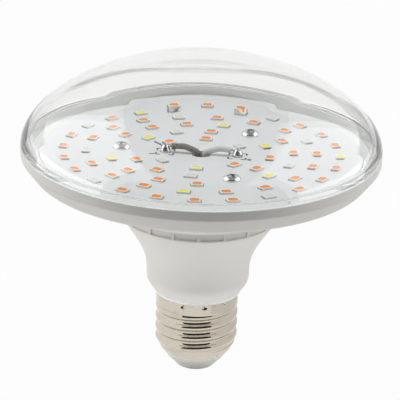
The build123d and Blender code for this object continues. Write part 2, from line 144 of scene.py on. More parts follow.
def make_plating_group():
    """Plated or tinned metal: dull patches, fine drawn lines and an uneven gloss."""
    tree, given, out = new_group(
        "plated_metal",
        "ShaderNodeTree",
        [("Vector", VECTOR), ("Colour", COLOUR), ("Dull colour", COLOUR), ("Patch scale", FLOAT),
         ("Line stretch", VECTOR), ("Roughness", FLOAT), ("Uneven", FLOAT)],
        [("Colour", COLOUR), ("Roughness", FLOAT), ("Height", FLOAT)],
    )
    patch = put(tree, "ShaderNodeTexNoise", Vector=given["Vector"], Scale=given["Patch scale"], Detail=5.0)
    stretched = put(tree, "ShaderNodeVectorMath", {"operation": "MULTIPLY"})
    feed(tree, stretched.inputs[0], given["Vector"])
    feed(tree, stretched.inputs[1], given["Line stretch"])
    lines = put(tree, "ShaderNodeTexNoise", Vector=stretched.outputs[0], Scale=1.0, Detail=4.0)
    share = ramp(tree, patch.outputs["Fac"], low=0.45, high=0.75)
    feed(tree, out["Colour"], blend_colour(tree, share, given["Colour"], given["Dull colour"]))
    swing = maths(tree, "SUBTRACT", patch.outputs["Fac"], NOISE_MIDDLE)
    swing = maths(tree, "MULTIPLY_ADD", lines.outputs["Fac"], LINE_GLOSS, swing)
    feed(tree, out["Roughness"], maths(tree, "MULTIPLY_ADD", swing, given["Uneven"], given["Roughness"]))
    feed(tree, out["Height"], lines.outputs["Fac"])
    return tree


GRAIN = make_grain_group()
PLATING = make_plating_group()


# Finishes
RIPPLE_SIZE = 24.0
RIPPLE_DEPTH = 0.25
RIPPLE_STRENGTH = 0.4
RIPPLE_HAZE = 0.03
COVER_TINT = (0.94, 0.94, 0.935, 1.0)
COVER_SHADE = (0.92, 0.93, 0.93, 1.0)
COVER_IOR = 1.5
NECK_LIP_RISE = 0.5
NECK_LIP_FADE = 0.5
PAN_BORE = 54.4
PAN_WALL_DROP = 2.0
PAN_BORE_FADE = 0.3
PAN_WALL_FADE = 1.0
PHOSPHOR_GRAIN = 0.22
PHOSPHOR_RELIEF = 0.01
SILICONE_SHEEN = 0.2
FLECK_SIZE = 0.8
FLECK_EDGE = 0.05


def new_material(name):
    """A material with a Principled shader. Returns it and the shader."""
    material = bpy.data.materials.new(name)
    material.use_nodes = True
    return material, material.node_tree.nodes["Principled BSDF"]


def new_finish(name):
    """A material with a pattern. Returns it, its tree, its shader and the piece's own coordinates."""
    material, shader = new_material(name)
    tree = material.node_tree
    return material, tree, shader, tree.nodes.new("ShaderNodeTexCoord").outputs["Object"]


def own_place(tree):
    """The piece's own coordinates, as a finish already reads them."""
    return next(node for node in tree.nodes if node.type == "TEX_COORD").outputs["Object"]


def tint(tree, share, colour):
    """Blends another colour over a finish's own."""
    base = tree.nodes["Principled BSDF"].inputs["Base Color"]
    own_colour = base.links[0].from_socket
    feed(tree, base, blend_colour(tree, share, own_colour, (*colour, 1.0)))


def use_group(tree, group, **inputs):
    """Places a shader group in a material."""
    node = tree.nodes.new("ShaderNodeGroup")
    node.node_tree = group
    for name, value in inputs.items():
        feed(tree, node.inputs[name.replace("_", " ")], value)
    return node.outputs


def relief(tree, shader, height, depth, strength=1.0):
    """Bump of this depth in millimetres on a shader's normal."""
    bump = put(tree, "ShaderNodeBump", Height=height, Strength=strength, Distance=depth * MM)
    feed(tree, shader.inputs["Normal"], bump.outputs["Normal"])


def moulded(name, colour, roughness, grain=0.06, grain_size=0.3, mottle=0.05, mottle_size=8.0, depth=0.01):
    """Moulded plastic with a fine grain. Sizes are in millimetres."""
    material, tree, shader, place = new_finish(name)
    face = use_group(
        tree, GRAIN, Vector=place, Colour=(*colour, 1.0), Grain_scale=1 / (grain_size * MM), Grain=grain,
        Mottle_scale=1 / (mottle_size * MM), Mottle=mottle, Roughness=roughness,
    )
    feed(tree, shader.inputs["Base Color"], face["Colour"])
    feed(tree, shader.inputs["Roughness"], face["Roughness"])
    relief(tree, shader, face["Height"], depth)
    return material


def plated(
    name, colour, dull, roughness, uneven=0.15, patch_size=3.0, line_size=(2.0, 2.0, 0.15), depth=0.004,
):
    """Plated, tinned or bare metal. Sizes are in millimetres."""
    material, tree, shader, place = new_finish(name)
    face = use_group(
        tree, PLATING, Vector=place, Colour=(*colour, 1.0), Dull_colour=(*dull, 1.0),
        Patch_scale=1 / (patch_size * MM), Line_stretch=[1 / (size * MM) for size in line_size],
        Roughness=roughness, Uneven=uneven,
    )
    feed(tree, shader.inputs["Base Color"], face["Colour"])
    feed(tree, shader.inputs["Roughness"], face["Roughness"])
    shader.inputs["Metallic"].default_value = 1.0
    relief(tree, shader, face["Height"], depth)
    return material


def clear_plastic(name):
    """Clear moulded plastic with the slow ripple of a moulded wall. Its shadow is let through."""
    material, tree, shader, place = new_finish(name)
    ripple = put(tree, "ShaderNodeTexNoise", Vector=place, Scale=1 / (RIPPLE_SIZE * MM), Detail=1.0)
    relief(tree, shader, ripple.outputs["Fac"], RIPPLE_DEPTH, RIPPLE_STRENGTH)
    haze = ramp(tree, ripple.outputs["Fac"], low=0.3, high=0.8, to_low=0.0, to_high=RIPPLE_HAZE)
    feed(tree, shader.inputs["Roughness"], haze)
    shader.inputs["Base Color"].default_value = COVER_TINT
    shader.inputs["IOR"].default_value = COVER_IOR
    shader.inputs["Transmission Weight"].default_value = 1.0
    path = tree.nodes.new("ShaderNodeLightPath")
    through = put(tree, "ShaderNodeBsdfTransparent", Color=COVER_SHADE)
    light_passes = maths(tree, "MAXIMUM", path.outputs["Is Shadow Ray"], path.outputs["Is Diffuse Ray"])
    split = put(tree, "ShaderNodeMixShader", Fac=light_passes)
    feed(tree, split.inputs[1], shader.outputs[0])
    feed(tree, split.inputs[2], through.outputs[0])
    feed(tree, tree.nodes["Material Output"].inputs["Surface"], split.outputs[0])
    return material


def neck_plastic(name, colour, painted_lip_light_colour):
    """Moulded plastic, with painted light on the thin lip at the neck's foot, which is tinted paler as if lit
    through.
    """
    material = moulded(name, colour, roughness=0.5)
    tree = material.node_tree
    height = put(tree, "ShaderNodeSeparateXYZ", Vector=own_place(tree)).outputs["Z"]
    lip_top = CAP_TOP + NECK_LIP_RISE
    # Painted light: the lip is tinted paler as if light came through it.
    tint(tree, ramp(tree, height, lip_top * MM, (lip_top + NECK_LIP_FADE) * MM, 1.0, 0.0), painted_lip_light_colour)
    return material


def pan_plastic(name, colour, painted_inner_light_colour):
    """Moulded plastic, with painted light on the wall inside the cover, which is tinted paler there."""
    material = moulded(name, colour, roughness=0.45)
    tree = material.node_tree
    axes = put(tree, "ShaderNodeSeparateXYZ", Vector=own_place(tree)).outputs
    squares = maths(tree, "MULTIPLY_ADD", axes["X"], axes["X"], maths(tree, "MULTIPLY", axes["Y"], axes["Y"]))
    radius = maths(tree, "SQRT", squares)
    inside = ramp(tree, radius, PAN_BORE * MM, (PAN_BORE + PAN_BORE_FADE) * MM, 1.0, 0.0)
    wall_foot = BOARD_TOP - PAN_WALL_DROP
    above = ramp(tree, axes["Z"], wall_foot * MM, (wall_foot + PAN_WALL_FADE) * MM)
    # Painted light: the inner wall above the board is tinted paler.
    tint(tree, maths(tree, "MULTIPLY", inside, above), painted_inner_light_colour)
    return material


def silicone(name, colour, grain_colour):
    """Cast silicone over phosphor: a glossy face with small grains in it."""
    material, tree, shader, place = new_finish(name)
    grains = put(tree, "ShaderNodeTexVoronoi", Vector=place, Scale=1 / (PHOSPHOR_GRAIN * MM))
    distance = grains.outputs["Distance"]
    share = ramp(tree, distance, low=0.2, high=0.75)
    feed(tree, shader.inputs["Base Color"], blend_colour(tree, share, (*colour, 1.0), (*grain_colour, 1.0)))
    feed(tree, shader.inputs["Roughness"], ramp(tree, distance, low=0.0, high=1.0, to_low=0.22, to_high=0.4))
    relief(tree, shader, distance, PHOSPHOR_RELIEF)
    shader.inputs["Specular IOR Level"].default_value = SILICONE_SHEEN
    return material


def wire_sleeve(name, colour, fleck_colour, fleck_share):
    """An extruded wire sleeve with small printed flecks."""
    material = moulded(
        name, colour, roughness=0.5, grain=0.15, grain_size=0.25, mottle=0.25, mottle_size=2.0, depth=0.02,
    )
    tree = material.node_tree
    flecks = put(tree, "ShaderNodeTexNoise", Vector=own_place(tree), Scale=1 / (FLECK_SIZE * MM), Detail=3.0)
    level = 1 - fleck_share
    tint(tree, ramp(tree, flecks.outputs["Fac"], level, level + FLECK_EDGE), fleck_colour)
    return material


# The housing's inner wall gets a paler tint as painted light.
HOUSING = pan_plastic("housing_plastic", (0.70, 0.68, 0.645), painted_inner_light_colour=(0.92, 0.915, 0.90))
# The neck's foot lip gets a paler tint as painted light.
NECK = neck_plastic("neck_plastic", (0.72, 0.705, 0.67), painted_lip_light_colour=(0.86, 0.87, 0.87))
COVER = clear_plastic("clear_cover_plastic")
NICKEL = plated("nickel_plate", (0.63, 0.575, 0.49), (0.56, 0.51, 0.43), roughness=0.04, uneven=0.06)
INSULATOR = moulded("cap_insulator_plastic", (0.95, 0.93, 0.87), roughness=0.3)
MASK = moulded(
    "white_solder_mask", (0.80, 0.81, 0.815), roughness=0.35, grain=0.03, mottle=0.03, depth=0.005,
)
LED_WHITE = moulded("led_body_plastic", (0.90, 0.885, 0.85), roughness=0.4, grain=0.05)
TINNED = plated("tinned_metal", (0.72, 0.72, 0.73), (0.52, 0.52, 0.53), roughness=0.25, patch_size=0.6)
# The tabs are coloured darker than bare tin: partly their solder, partly painted shade at the dark ends of
# each LED.
LED_TAB = plated("led_tab_metal", (0.42, 0.41, 0.40), (0.16, 0.15, 0.14), roughness=0.3, patch_size=0.6)
SOLDER = plated("bright_solder", (0.70, 0.70, 0.71), (0.22, 0.21, 0.20), roughness=0.14, patch_size=0.7)
CHROME = plated("bright_screw_plate", (0.80, 0.80, 0.81), (0.66, 0.66, 0.67), roughness=0.18, patch_size=1.5)
ALUMINIUM = plated("mill_aluminium", (0.76, 0.76, 0.77), (0.68, 0.68, 0.69), roughness=0.35)
ORANGE = silicone("orange_silicone", (0.98, 0.245, 0.008), grain_colour=(0.99, 0.31, 0.02))
YELLOW = silicone("yellow_silicone", (0.98, 0.82, 0.04), grain_colour=(0.98, 0.87, 0.12))
CLEAR = silicone("clear_silicone", (0.70, 0.70, 0.64), grain_colour=(0.78, 0.78, 0.72))
GREY_SLEEVE = wire_sleeve("grey_wire_sleeve", (0.25, 0.22, 0.19), (0.05, 0.045, 0.04), fleck_share=0.40)
PALE_SLEEVE = wire_sleeve("pale_wire_sleeve", (0.72, 0.72, 0.70), (0.10, 0.09, 0.08), fleck_share=0.28)
INK = moulded("black_print_ink", (0.03, 0.03, 0.03), roughness=0.6, grain=0.4, grain_size=0.15)
LAMINATE = moulded("green_laminate", (0.05, 0.20, 0.08), roughness=0.4, mottle=0.2)
CAN_SLEEVE = moulded("capacitor_sleeve", (0.02, 0.02, 0.025), roughness=0.3, mottle=0.2)
FILM = moulded("film_capacitor_dip", (0.36, 0.05, 0.02), roughness=0.25, mottle=0.2)
FERRITE = moulded("ferrite", (0.03, 0.03, 0.03), roughness=0.7, grain=0.3)
COPPER = plated(
    "enamelled_copper", (0.72, 0.34, 0.16), (0.55, 0.22, 0.09), roughness=0.3, line_size=(3.0, 0.2, 3.0),
    depth=0.05,
)
BLACK_MOULDING = moulded("chip_moulding", (0.02, 0.02, 0.02), roughness=0.6, grain=0.3)
FUSE_COAT = moulded("resistor_coating", (0.34, 0.42, 0.36), roughness=0.35, mottle=0.2)

CAD_FINISHES = {
    "centre_contact": NICKEL,
    "cap_insulator": INSULATOR,
    "neck_sleeve": NECK,
    "pan_housing": HOUSING,
    "heat_sink": ALUMINIUM,
    "led_board": MASK,
    "board_screws": CHROME,
    "positive_wire": PALE_SLEEVE,
    "negative_wire": GREY_SLEEVE,
    "wire_ends": TINNED,
    "solder_joints": SOLDER,
    "driver_board": LAMINATE,
    "electrolytic_capacitor": CAN_SLEEVE,
    "film_capacitor": FILM,
    "choke_core": FERRITE,
    "choke_winding": COPPER,
    "bridge_rectifier": BLACK_MOULDING,
    "driver_chip": BLACK_MOULDING,
    "fuse_resistor": FUSE_COAT,
    "shell_lead": TINNED,
    "tip_lead": TINNED,
}
for node_name, finish in CAD_FINISHES.items():
    nodes[node_name].data.materials.clear()
    nodes[node_name].data.materials.append(finish)


# Mesh helpers
WELD_GAP = 0.001


def new_piece(name, points, faces, finish, sharp_angle=35.0):
    """A mesh piece from points in millimetres, smooth but for its sharp edges."""
    mesh = bpy.data.meshes.new(name)
    mesh.from_pydata([Vector(p) * MM for p in points], [], faces)
    shape = bmesh.new()
    shape.from_mesh(mesh)
    bmesh.ops.recalc_face_normals(shape, faces=shape.faces)
    shape.to_mesh(mesh)
    shape.free()
    mesh.shade_smooth()
    mesh.set_sharp_from_angle(angle=math.radians(sharp_angle))
    mesh.materials.append(finish)
    piece = bpy.data.objects.new(name, mesh)
    bpy.context.scene.collection.objects.link(piece)
    return piece


def turned(name, profile, steps, finish):
    """A piece turned about Z from a section of (radius, height) points. Points on the axis become poles."""
    points, rings = [], []
    for radius, height in profile:
        ring = []
        for step in range(steps if radius > 0 else 1):
            angle = 2 * math.pi * step / steps
            ring.append(len(points))
            points.append((radius * math.cos(angle), radius * math.sin(angle), height))
        rings.append(ring if len(ring) > 1 else ring * steps)
    faces = []
    for lower, upper in zip(rings, rings[1:]):
        for step in range(steps):
            after = (step + 1) % steps
            face = [lower[step], lower[after], upper[after], upper[step]]
            faces.append(tuple(dict.fromkeys(face)))
    return new_piece(name, points, faces, finish)


def stacked(name, loops, finish):
    """A closed piece through loops of equal count, with its first and last loop filled."""
    count = len(loops[0])
    points = [point for loop in loops for point in loop]
    faces = [tuple(range(count))[::-1], tuple(range(len(points) - count, len(points)))]
    for level in range(len(loops) - 1):
        for step in range(count):
            after = (step + 1) % count
            low, high = level * count, (level + 1) * count
            faces.append((low + step, low + after, high + after, high + step))
    return new_piece(name, points, faces, finish)


def rounded_corner(before, corner, after, radius, steps=4):
    """Points of a rounded corner of a section."""
    corner = Vector(corner)
    to_before = (Vector(before) - corner).normalized() * radius
    to_after = (Vector(after) - corner).normalized() * radius
    points = []
    for step in range(steps + 1):
        t = step / steps
        points.append(tuple(corner + to_before * (1 - t) ** 2 + to_after * t ** 2))
    return points


def quarter_oval(foot, reach, rise, side, crown, steps):
    """Section points of a quarter oval, from its side to its top. Side and crown say how full it is."""
    points = []
    for step in range(steps):
        t = step / steps
        across = (1 - t) ** 3 + 3 * t * (1 - t) ** 2 + 3 * t ** 2 * (1 - t) * crown
        up = 3 * t * (1 - t) ** 2 * side + 3 * t ** 2 * (1 - t) + t ** 3
        points.append((reach * across, foot + rise * up))
    return points + [(0.0, foot + rise)]


def plain_mesh(piece):
    """Turns what a piece's modifiers make into its own mesh."""
    graph = bpy.context.evaluated_depsgraph_get()
    mesh = bpy.data.meshes.new_from_object(piece.evaluated_get(graph))
    piece.modifiers.clear()
    piece.data = mesh
    return piece


def island_centres(node_name):
    """The middle of each separate solid of a CAD node, in millimetres."""
    shape = bmesh.new()
    shape.from_mesh(nodes[node_name].data)
    bmesh.ops.remove_doubles(shape, verts=shape.verts, dist=WELD_GAP * MM)
    centres, seen = [], set()
    for start in shape.verts:
        if start in seen:
            continue
        island, edge = {start}, [start]
        while edge:
            here = edge.pop()
            for link in here.link_edges:
                other = link.other_vert(here)
                if other not in island:
                    island.add(other)
                    edge.append(other)
        seen |= island
        low = [min(v.co[axis] for v in island) for axis in range(3)]
        high = [max(v.co[axis] for v in island) for axis in range(3)]
        centres.append((Vector(low) + Vector(high)) / 2 / MM)
    shape.free()
    return centres


def stand_for(piece, slot, *node_names):
    """A finished piece of the lamp that is shown in place of CAD nodes."""
    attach(piece, "root")
    if node_names:
        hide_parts(*node_names)


# Clear cover: an oval dome with an inner ledge, a locating skirt and a moulding gate
COVER_WALL = 1.7
COVER_STEPS = 256
DOME_STEPS = 128
DOME_SIDE = 0.43
DOME_CROWN = 0.535
HOLLOW_SIDE = 0.40
HOLLOW_CROWN = 0.55
LEDGE_RISE = 1.2
LEDGE_FILLET = 0.8
SKIRT_RADIUS = 54.0
SKIRT_BORE = 52.8
SKIRT_LENGTH = 2.6
COVER_EDGE_ROUND = 0.3
GATE_ANGLE = -62.5
GATE_RADIUS = 0.5
GATE_RISE = 1.0
GATE_STEPS = 16
# The gate stub's section, as the reach past the rim and the share of the stub's radius
GATE_SECTION = [(-0.21, 1.0), (0.23, 1.0), (0.37, 0.7)]
# The thinner wall: where it starts, how wide it is, how fast and how softly it thins, and where it fades out
THIN_RADIUS = 31.0
THIN_WIDEN = 0.92
THIN_SLOPE = 0.025
THIN_BLEND = 0.4
THIN_FLAT = 8.0
THIN_END = 53.0
THIN_FADE = 9.0


def thin_wall(x, y):
    """How much thinner the wall is from the middle of the dome to its back, with a soft edge at the front."""
    inside = THIN_RADIUS - math.sqrt((THIN_WIDEN * x) ** 2 + min(y, 0.0) ** 2 + THIN_FLAT ** 2)
    thinner = THIN_SLOPE * THIN_BLEND * math.log1p(math.exp(inside / THIN_BLEND))
    share = min(1.0, max(0.0, (THIN_END - math.hypot(x, y)) / THIN_FADE))
    return thinner * share ** 2 * (3 - 2 * share)


def make_cover():
    """The dome, turned from its section, with its inner side raised where the wall is thinner."""
    dome = APEX - RIM_TOP
    ledge = RIM_TOP + LEDGE_RISE
    hollow = dome - LEDGE_RISE - COVER_WALL
    outer = quarter_oval(RIM_TOP, RIM_RADIUS, dome, DOME_SIDE, DOME_CROWN, DOME_STEPS)
    inner = quarter_oval(ledge, RIM_RADIUS - COVER_WALL, hollow, HOLLOW_SIDE, HOLLOW_CROWN, DOME_STEPS)
    corners = [
        (inner[0], LEDGE_FILLET),
        ((SKIRT_BORE, ledge), COVER_EDGE_ROUND),
        ((SKIRT_BORE, RIM_TOP - SKIRT_LENGTH), COVER_EDGE_ROUND),
        ((SKIRT_RADIUS, RIM_TOP - SKIRT_LENGTH), COVER_EDGE_ROUND),
        ((SKIRT_RADIUS, RIM_TOP), COVER_EDGE_ROUND),
        (outer[0], COVER_EDGE_ROUND),
    ]
    inner = [point for point in inner if point[1] > ledge + LEDGE_FILLET]
    outer = [point for point in outer if point[1] > RIM_TOP + COVER_EDGE_ROUND]
    ends = [inner[0]] + [corner for corner, size in corners] + [outer[0]]
    edge = []
    for before, (corner, size), after in zip(ends, corners, ends[2:]):
        edge += rounded_corner(before, corner, after, size)
    inner = inner[::-1]
    piece = turned("clear_cover_dome", inner + edge + outer, COVER_STEPS, COVER)
    inner_count = 1 + (len(inner) - 1) * COVER_STEPS
    for point in piece.data.vertices[:inner_count]:
        point.co.z += thin_wall(point.co.x / MM, point.co.y / MM) * MM
    return piece


def make_gate():
    """The small round stub that the moulding gate leaves by the cover's edge."""
    angle = math.radians(GATE_ANGLE)
    out = Vector((math.cos(angle), math.sin(angle), 0.0))
    side = Vector((-out.y, out.x, 0.0))
    middle = RIM_TOP + GATE_RISE
    loops = []
    for reach, share in GATE_SECTION:
        loop = []
        for step in range(GATE_STEPS):
            turn = 2 * math.pi * step / GATE_STEPS
            spot = out * (RIM_RADIUS + reach) + side * (GATE_RADIUS * share * math.cos(turn))
            loop.append((spot.x, spot.y, middle + GATE_RADIUS * share * math.sin(turn)))
        loops.append(loop)
    return stacked("cover_gate_stub", loops, COVER)


stand_for(make_gate(), "cover")
stand_for(make_cover(), "cover", "clear_cover")


# Screw shell: thin sheet rolled into a right-hand thread, with punched crimp marks in its plain band
SHELL_SEGMENTS = 256
SHELL_ROWS = 150
SHELL_WALL = 0.3
SEAM_GAP = 0.002
# The inputs of the shell's tree, in millimetres and degrees
SHELL_SIZES = {
    "Foot height": CAP_FOOT,
    "Top height": CAP_TOP,
    "Crest radius": CAP_RADIUS,
    "Thread depth": 0.95,
    "Pitch": 3.629,
    "Crest start": CAP_FOOT + 1.2,
    "Band foot": CAP_TOP - 3.6,
    "Band fade": 2.0,
    "Lip radius": 11.5,
    "Lip taper": 1.4,
    "Lip fade": 0.8,
    "Lip blend": 0.3,
    "Punch count": 12,
    "Punch angle": 11.0,
    "Punch height": CAP_TOP - 1.1,
    "Punch radius": 0.85,
    "Punch depth": 0.5,
}


def thread_arcs(tree, from_root, pitch, depth):
    """Share of the thread's depth. Equal round crests and roots meet halfway, with the root at 0 turns."""
    quarter = maths(tree, "MULTIPLY", pitch, 0.25)
    half_depth = maths(tree, "MULTIPLY", depth, 0.5)
    squares = maths(tree, "MULTIPLY_ADD", quarter, quarter, maths(tree, "MULTIPLY", half_depth, half_depth))
    arc = maths(tree, "DIVIDE", squares, depth)
    near_end = maths(tree, "PINGPONG", from_root, 0.25)
    off = maths(tree, "MULTIPLY", near_end, pitch)
    drop = maths(tree, "SUBTRACT", maths(tree, "MULTIPLY", arc, arc), maths(tree, "MULTIPLY", off, off))
    drop = maths(tree, "DIVIDE", maths(tree, "SUBTRACT", arc, maths(tree, "SQRT", drop)), depth)
    on_crest = maths(tree, "GREATER_THAN", from_root, 0.25)
    return maths(tree, "ABSOLUTE", maths(tree, "SUBTRACT", on_crest, drop))


def thread_radius(tree, given, turn, height):
    """The shell's radius before it is punched: a taper at the lip, the thread, then the plain band."""
    turns_up = maths(tree, "DIVIDE", maths(tree, "SUBTRACT", height, given["Crest start"]), given["Pitch"])
    half_off = maths(tree, "ADD", maths(tree, "SUBTRACT", turns_up, turn), 0.5)
    from_root = maths(tree, "PINGPONG", half_off, 0.5)
    wave = thread_arcs(tree, from_root, given["Pitch"], given["Thread depth"])
    lip_top = maths(tree, "ADD", given["Foot height"], given["Lip taper"])
    thread_start = maths(tree, "ADD", lip_top, given["Lip fade"])
    wave = maths(tree, "MULTIPLY", wave, ramp(tree, height, lip_top, thread_start))
    thread_end = maths(tree, "SUBTRACT", given["Band foot"], given["Band fade"])
    wave = maths(tree, "MAXIMUM", wave, ramp(tree, height, thread_end, given["Band foot"]))
    root = maths(tree, "SUBTRACT", given["Crest radius"], given["Thread depth"])
    thread = maths(tree, "MULTIPLY_ADD", wave, given["Thread depth"], root)
    above_foot = maths(tree, "SUBTRACT", height, given["Foot height"])
    lip_rise = maths(tree, "DIVIDE", above_foot, given["Lip taper"])
    lip_slope = maths(tree, "SUBTRACT", root, given["Lip radius"])
    lip = maths(tree, "MULTIPLY_ADD", lip_rise, lip_slope, given["Lip radius"])
    return maths(tree, "SMOOTH_MIN", thread, lip, given["Lip blend"])


def punch_dent(tree, given, angle, height):
    """The depth of the crimp marks, evenly spaced round the plain band."""
    half_spacing = maths(tree, "DIVIDE", math.pi, given["Punch count"])
    off_mark = maths(tree, "SUBTRACT", angle, maths(tree, "RADIANS", given["Punch angle"]))
    off_mark = maths(tree, "WRAP", off_mark, half_spacing, maths(tree, "MULTIPLY", half_spacing, -1.0))
    along = maths(tree, "MULTIPLY", off_mark, given["Crest radius"])
    above = maths(tree, "SUBTRACT", height, given["Punch height"])
    squares = maths(tree, "MULTIPLY_ADD", along, along, maths(tree, "MULTIPLY", above, above))
    hollow = ramp(tree, maths(tree, "SQRT", squares), 0.0, given["Punch radius"], 1.0, 0.0)
    return maths(tree, "MULTIPLY", hollow, given["Punch depth"])


def make_shell_tree():
    """A sheet wrapped round Z, with its radius worked out from the angle and the height."""
    tree, given, out = new_group(
        "rolled_screw_shell",
        "GeometryNodeTree",
        [("Geometry", "NodeSocketGeometry"), ("Segments", "NodeSocketInt"), ("Rows", "NodeSocketInt"),
         *[(name, FLOAT) for name in SHELL_SIZES], ("Finish", "NodeSocketMaterial")],
        [("Geometry", "NodeSocketGeometry")],
    )
    tree.is_modifier = True
    sheet = put(tree, "GeometryNodeMeshGrid", Size_X=1.0, Size_Y=1.0)
    feed(tree, sheet.inputs["Vertices X"], given["Segments"])
    feed(tree, sheet.inputs["Vertices Y"], given["Rows"])
    place = put(tree, "ShaderNodeSeparateXYZ", Vector=tree.nodes.new("GeometryNodeInputPosition").outputs[0])
    turn = maths(tree, "ADD", place.outputs["X"], 0.5)
    angle = maths(tree, "MULTIPLY", turn, 2 * math.pi)
    climb = maths(tree, "SUBTRACT", given["Top height"], given["Foot height"])
    way_up = maths(tree, "ADD", place.outputs["Y"], 0.5)
    height = maths(tree, "MULTIPLY_ADD", way_up, climb, given["Foot height"])
    radius = thread_radius(tree, given, turn, height)
    radius = maths(tree, "SUBTRACT", radius, punch_dent(tree, given, angle, height))

    wrapped = put(tree, "ShaderNodeCombineXYZ")
    feed(tree, wrapped.inputs["X"], maths(tree, "MULTIPLY", radius, maths(tree, "COSINE", angle)))
    feed(tree, wrapped.inputs["Y"], maths(tree, "MULTIPLY", radius, maths(tree, "SINE", angle)))
    feed(tree, wrapped.inputs["Z"], height)
    metres = put(tree, "ShaderNodeVectorMath", {"operation": "SCALE"}, Scale=MM)
    feed(tree, metres.inputs[0], wrapped.outputs[0])
    rolled = put(tree, "GeometryNodeSetPosition", Geometry=sheet.outputs["Mesh"], Position=metres.outputs[0])
    closed = put(tree, "GeometryNodeMergeByDistance", Geometry=rolled.outputs[0], Distance=SEAM_GAP * MM)
    smooth = put(tree, "GeometryNodeSetShadeSmooth", Geometry=closed.outputs[0])
    whole = put(tree, "GeometryNodeRealizeInstances", Geometry=smooth.outputs[0])
    dressed = put(tree, "GeometryNodeSetMaterial", Geometry=whole.outputs[0], Material=given["Finish"])
    feed(tree, out["Geometry"], dressed.outputs[0])
    return tree


def dress_with(piece, tree, inputs):
    """Adds a Geometry Nodes modifier and sets its named inputs."""
    modifier = piece.modifiers.new(tree.name, "NODES")
    modifier.node_group = tree
    for socket in tree.interface.items_tree:
        if socket.in_out == "INPUT" and socket.name in inputs:
            value = inputs[socket.name]
            modifier[socket.identifier] = float(value) if socket.socket_type == FLOAT else value


def make_shell():
    """The rolled sheet, with its wall on the inside."""
    piece = bpy.data.objects.new("rolled_screw_shell", bpy.data.meshes.new("rolled_screw_shell"))
    bpy.context.scene.collection.objects.link(piece)
    dress_with(
        piece, make_shell_tree(),
        {"Segments": SHELL_SEGMENTS + 1, "Rows": SHELL_ROWS, "Finish": NICKEL, **SHELL_SIZES},
    )
    wall = piece.modifiers.new("wall", "SOLIDIFY")
    wall.thickness = SHELL_WALL * MM
    wall.offset = -1.0
    return plain_mesh(piece)


stand_for(make_shell(), "shell", "screw_shell")


# LED packages: a body, its tabs and its window, made once and placed along the rings
LED_LENGTH = 3.7
LED_WIDTH = 3.0
LED_HEIGHT = 0.7
LED_CORNER = 0.12
LED_CHAMFER = 0.08
LED_UNDERCUT = 0.2
LED_UNDERCUT_HEIGHT = 0.16
WINDOW_LENGTH = 2.9
WINDOW_WIDTH = 2.3
WINDOW_CORNER = 0.65
WINDOW_DEPTH = 0.35
WINDOW_SLOPE = 0.12
EMITTER_GAP = 0.02
EMITTER_DROP = 0.04
EMITTER_DIP = 0.04
# Rings of the dip in a window: shares of its length, its width and its corner, and of the dip's depth
DIP_RINGS = [(0.85, 0.8, 0.75, 0.6), (0.5, 0.45, 0.4, 1.0)]
TAB_WIDTH = 2.2
# A tab's section, as the reach past the body's end and the height over the board
TAB_SECTION = [(0.0, 0.0), (0.25, 0.0), (0.25, 0.08), (0.11, 0.16), (0.06, 0.35), (0.0, 0.35)]
# Each kind of window with its finish and its slot
WINDOW_KINDS = [("orange", ORANGE, "orange"), ("yellow", YELLOW, "yellow"), ("clear", CLEAR, "clear_window")]


def rounded_loop(length, width, corner, height, steps=4):
    """Points round a rounded rectangle at this height."""
    points = []
    for side, (x_way, y_way) in enumerate([(1, 1), (-1, 1), (-1, -1), (1, -1)]):
        for step in range(steps):
            angle = math.pi / 2 * (side + step / (steps - 1))
            x = x_way * (length / 2 - corner) + corner * math.cos(angle)
            y = y_way * (width / 2 - corner) + corner * math.sin(angle)
            points.append((x, y, height))
    return points


def window_floor():
    """The loop round the bottom of the window."""
    return rounded_loop(
        WINDOW_LENGTH - 2 * WINDOW_SLOPE, WINDOW_WIDTH - 2 * WINDOW_SLOPE, WINDOW_CORNER - WINDOW_SLOPE,
        LED_HEIGHT - WINDOW_DEPTH,
    )


def make_led_body():
    """The white body, cut back at its foot and open at its window."""
    foot_width = LED_WIDTH - 2 * LED_UNDERCUT
    return stacked("led_body_pattern", [
        rounded_loop(LED_LENGTH, foot_width, LED_CORNER, 0.0),
        rounded_loop(LED_LENGTH, foot_width, LED_CORNER, LED_UNDERCUT_HEIGHT),
        rounded_loop(LED_LENGTH, LED_WIDTH, LED_CORNER, LED_UNDERCUT_HEIGHT),
        rounded_loop(LED_LENGTH, LED_WIDTH, LED_CORNER, LED_HEIGHT - LED_CHAMFER),
        rounded_loop(LED_LENGTH - 2 * LED_CHAMFER, LED_WIDTH - 2 * LED_CHAMFER, LED_CORNER, LED_HEIGHT),
        rounded_loop(WINDOW_LENGTH, WINDOW_WIDTH, WINDOW_CORNER, LED_HEIGHT),
        window_floor(),
    ], LED_WHITE)


def make_emitter():
    """The silicone in the window, a little hollow in the middle."""
    top = LED_HEIGHT - EMITTER_DROP
    loops = [
        window_floor(),
        rounded_loop(WINDOW_LENGTH - EMITTER_GAP, WINDOW_WIDTH - EMITTER_GAP, WINDOW_CORNER, top),
    ]
    for along, across, corner, dip in DIP_RINGS:
        length, width = WINDOW_LENGTH * along, WINDOW_WIDTH * across
        loops.append(rounded_loop(length, width, WINDOW_CORNER * corner, top - EMITTER_DIP * dip))
    return stacked("led_window_pattern", loops, ORANGE)


def make_tabs():
    """The soldered tab at each end."""
    points, faces = [], []
    count = len(TAB_SECTION)
    for way in (1, -1):
        first = len(points)
        for y in (-TAB_WIDTH / 2, TAB_WIDTH / 2):
            points += [(way * (LED_LENGTH / 2 + out), y, up) for out, up in TAB_SECTION]
        faces += [tuple(range(first, first + count)), tuple(range(first + count, first + 2 * count))]
        for step in range(count):
            after = (step + 1) % count
            faces.append((first + step, first + after, first + count + after, first + count + step))
    return new_piece("led_tab_pattern", points, faces, LED_TAB)


